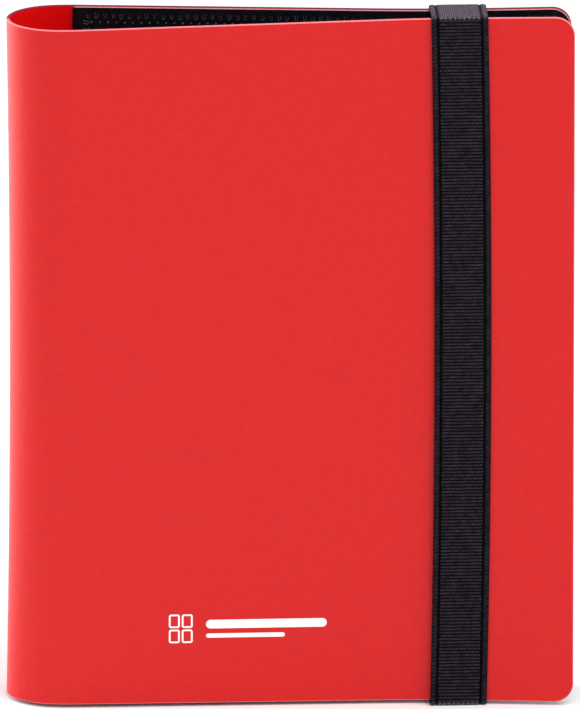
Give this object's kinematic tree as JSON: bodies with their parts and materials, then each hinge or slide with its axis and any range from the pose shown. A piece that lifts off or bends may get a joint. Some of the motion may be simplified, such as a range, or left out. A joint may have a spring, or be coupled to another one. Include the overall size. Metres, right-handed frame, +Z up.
{
  "type": "trading card binder",
  "caption": "Upright trading card binder with a half-round spine, hinged plastic covers, black liners, turning pocket pages and an elastic strap that holds it shut.",
  "frame": {"origin": "centre of the closed binder's footprint, on the surface it stands on", "axes": "+Z up along the spine; the front cover faces -Y; the spine is at -X and the fore edge at +X"},
  "size_m": [0.1745, 0.0331, 0.2201],
  "materials": {
    "cover": "red polypropylene, fine matt grain",
    "liner": "black, satin",
    "tape": "black, satin",
    "page_core": "black, matt",
    "page_film": "clear, glossy",
    "elastic": "black ribbed woven elastic",
    "rivet": "black, satin",
    "washer": "plain"
  },
  "bodies": {
    "back": {"back_cover": "cover", "back_liner": "liner", "binding_tape": "tape", "page_margins": "page_film", "strap_top_end": "elastic", "strap_bottom_end": "elastic", "top_rivet": "rivet", "bottom_rivet": "rivet", "top_rivet_washer": "washer", "bottom_rivet_washer": "washer"},
    "spine": {"spine": "cover"},
    "front": {"front_cover": "cover", "front_liner": "liner"},
    "strap": {"strap_span": "elastic"},
    "page_01": {"page_01_core": "page_core", "page_01_pockets": "page_film"},
    "page_02": {"page_02_core": "page_core", "page_02_pockets": "page_film"},
    "page_03": {"page_03_core": "page_core", "page_03_pockets": "page_film"},
    "page_04": {"page_04_core": "page_core", "page_04_pockets": "page_film"},
    "page_05": {"page_05_core": "page_core", "page_05_pockets": "page_film"},
    "page_06": {"page_06_core": "page_core", "page_06_pockets": "page_film"},
    "page_07": {"page_07_core": "page_core", "page_07_pockets": "page_film"},
    "page_08": {"page_08_core": "page_core", "page_08_pockets": "page_film"},
    "page_09": {"page_09_core": "page_core", "page_09_pockets": "page_film"},
    "page_10": {"page_10_core": "page_core", "page_10_pockets": "page_film"},
    "page_11": {"page_11_core": "page_core", "page_11_pockets": "page_film"},
    "page_12": {"page_12_core": "page_core", "page_12_pockets": "page_film"},
    "page_13": {"page_13_core": "page_core", "page_13_pockets": "page_film"},
    "page_14": {"page_14_core": "page_core", "page_14_pockets": "page_film"},
    "page_15": {"page_15_core": "page_core", "page_15_pockets": "page_film"},
    "page_16": {"page_16_core": "page_core", "page_16_pockets": "page_film"},
    "page_17": {"page_17_core": "page_core", "page_17_pockets": "page_film"},
    "page_18": {"page_18_core": "page_core", "page_18_pockets": "page_film"},
    "page_19": {"page_19_core": "page_core", "page_19_pockets": "page_film"},
    "page_20": {"page_20_core": "page_core", "page_20_pockets": "page_film"}
  },
  "joints": [
    {"name": "front_cover_hinge", "type": "hinge", "parent": "spine", "child": "front", "pos_m": [-0.06975, -0.01135, 0.11005], "axis": [0, 0, -1], "range_deg": [0, 90]},
    {"name": "spine_hinge", "type": "hinge", "parent": "back", "child": "spine", "pos_m": [-0.06975, 0.01665, 0.11005], "axis": [0, 0, -1], "range_deg": [0, 90]},
    {"name": "strap_release", "type": "slide", "parent": "back", "child": "strap", "axis": [0, 1, 0], "range_m": [0, 0.0246], "deforming": ["strap_span"]},
    {"name": "page_01_turn", "type": "hinge", "parent": "back", "child": "page_01", "pos_m": [-0.06175, -0.0025, 0.11005], "axis": [0, 0, -1], "range_deg": [0, 183]},
    {"name": "page_02_turn", "type": "hinge", "parent": "back", "child": "page_02", "pos_m": [-0.06175, -0.0025, 0.11005], "axis": [0, 0, -1], "range_deg": [0, 182]},
    {"name": "page_03_turn", "type": "hinge", "parent": "back", "child": "page_03", "pos_m": [-0.06175, -0.0025, 0.11005], "axis": [0, 0, -1], "range_deg": [0, 181]},
    {"name": "page_04_turn", "type": "hinge", "parent": "back", "child": "page_04", "pos_m": [-0.06175, -0.0025, 0.11005], "axis": [0, 0, -1], "range_deg": [0, 180]},
    {"name": "page_05_turn", "type": "hinge", "parent": "back", "child": "page_05", "pos_m": [-0.06175, -0.0025, 0.11005], "axis": [0, 0, -1], "range_deg": [0, 179]},
    {"name": "page_06_turn", "type": "hinge", "parent": "back", "child": "page_06", "pos_m": [-0.06175, -0.0025, 0.11005], "axis": [0, 0, -1], "range_deg": [0, 178]},
    {"name": "page_07_turn", "type": "hinge", "parent": "back", "child": "page_07", "pos_m": [-0.06175, -0.0025, 0.11005], "axis": [0, 0, -1], "range_deg": [0, 177]},
    {"name": "page_08_turn", "type": "hinge", "parent": "back", "child": "page_08", "pos_m": [-0.06175, -0.0025, 0.11005], "axis": [0, 0, -1], "range_deg": [0, 176]},
    {"name": "page_09_turn", "type": "hinge", "parent": "back", "child": "page_09", "pos_m": [-0.06175, -0.0025, 0.11005], "axis": [0, 0, -1], "range_deg": [0, 175]},
    {"name": "page_10_turn", "type": "hinge", "parent": "back", "child": "page_10", "pos_m": [-0.06175, -0.0025, 0.11005], "axis": [0, 0, -1], "range_deg": [0, 174]},
    {"name": "page_11_turn", "type": "hinge", "parent": "back", "child": "page_11", "pos_m": [-0.06175, -0.0025, 0.11005], "axis": [0, 0, -1], "range_deg": [0, 7]},
    {"name": "page_12_turn", "type": "hinge", "parent": "back", "child": "page_12", "pos_m": [-0.06175, -0.0025, 0.11005], "axis": [0, 0, -1], "range_deg": [0, 6.3]},
    {"name": "page_13_turn", "type": "hinge", "parent": "back", "child": "page_13", "pos_m": [-0.06175, -0.0025, 0.11005], "axis": [0, 0, -1], "range_deg": [0, 5.6]},
    {"name": "page_14_turn", "type": "hinge", "parent": "back", "child": "page_14", "pos_m": [-0.06175, -0.0025, 0.11005], "axis": [0, 0, -1], "range_deg": [0, 4.9]},
    {"name": "page_15_turn", "type": "hinge", "parent": "back", "child": "page_15", "pos_m": [-0.06175, -0.0025, 0.11005], "axis": [0, 0, -1], "range_deg": [0, 4.2]},
    {"name": "page_16_turn", "type": "hinge", "parent": "back", "child": "page_16", "pos_m": [-0.06175, -0.0025, 0.11005], "axis": [0, 0, -1], "range_deg": [0, 3.5]},
    {"name": "page_17_turn", "type": "hinge", "parent": "back", "child": "page_17", "pos_m": [-0.06175, -0.0025, 0.11005], "axis": [0, 0, -1], "range_deg": [0, 2.8]},
    {"name": "page_18_turn", "type": "hinge", "parent": "back", "child": "page_18", "pos_m": [-0.06175, -0.0025, 0.11005], "axis": [0, 0, -1], "range_deg": [0, 2.1]},
    {"name": "page_19_turn", "type": "hinge", "parent": "back", "child": "page_19", "pos_m": [-0.06175, -0.0025, 0.11005], "axis": [0, 0, -1], "range_deg": [0, 1.4]},
    {"name": "page_20_turn", "type": "hinge", "parent": "back", "child": "page_20", "pos_m": [-0.06175, -0.0025, 0.11005], "axis": [0, 0, -1], "range_deg": [0, 0.7]}
  ],
  "couplings": [
    {"joint": "spine_hinge", "follows": "front_cover_hinge", "ratio": 1},
    {"joint": "strap_release", "follows": "front_cover_hinge", "m_per_rad": 0.01566},
    {"joint": "page_01_turn", "follows": "front_cover_hinge", "ratio": 2.0333},
    {"joint": "page_02_turn", "follows": "front_cover_hinge", "ratio": 2.0222},
    {"joint": "page_03_turn", "follows": "front_cover_hinge", "ratio": 2.0111},
    {"joint": "page_04_turn", "follows": "front_cover_hinge", "ratio": 2},
    {"joint": "page_05_turn", "follows": "front_cover_hinge", "ratio": 1.9889},
    {"joint": "page_06_turn", "follows": "front_cover_hinge", "ratio": 1.9778},
    {"joint": "page_07_turn", "follows": "front_cover_hinge", "ratio": 1.9667},
    {"joint": "page_08_turn", "follows": "front_cover_hinge", "ratio": 1.9556},
    {"joint": "page_09_turn", "follows": "front_cover_hinge", "ratio": 1.9444},
    {"joint": "page_10_turn", "follows": "front_cover_hinge", "ratio": 1.9333},
    {"joint": "page_11_turn", "follows": "front_cover_hinge", "ratio": 0.077777},
    {"joint": "page_12_turn", "follows": "front_cover_hinge", "ratio": 0.069999},
    {"joint": "page_13_turn", "follows": "front_cover_hinge", "ratio": 0.062221},
    {"joint": "page_14_turn", "follows": "front_cover_hinge", "ratio": 0.054443},
    {"joint": "page_15_turn", "follows": "front_cover_hinge", "ratio": 0.046666},
    {"joint": "page_16_turn", "follows": "front_cover_hinge", "ratio": 0.038888},
    {"joint": "page_17_turn", "follows": "front_cover_hinge", "ratio": 0.03111},
    {"joint": "page_18_turn", "follows": "front_cover_hinge", "ratio": 0.023332},
    {"joint": "page_19_turn", "follows": "front_cover_hinge", "ratio": 0.015555},
    {"joint": "page_20_turn", "follows": "front_cover_hinge", "ratio": 0.007777}
  ]
}
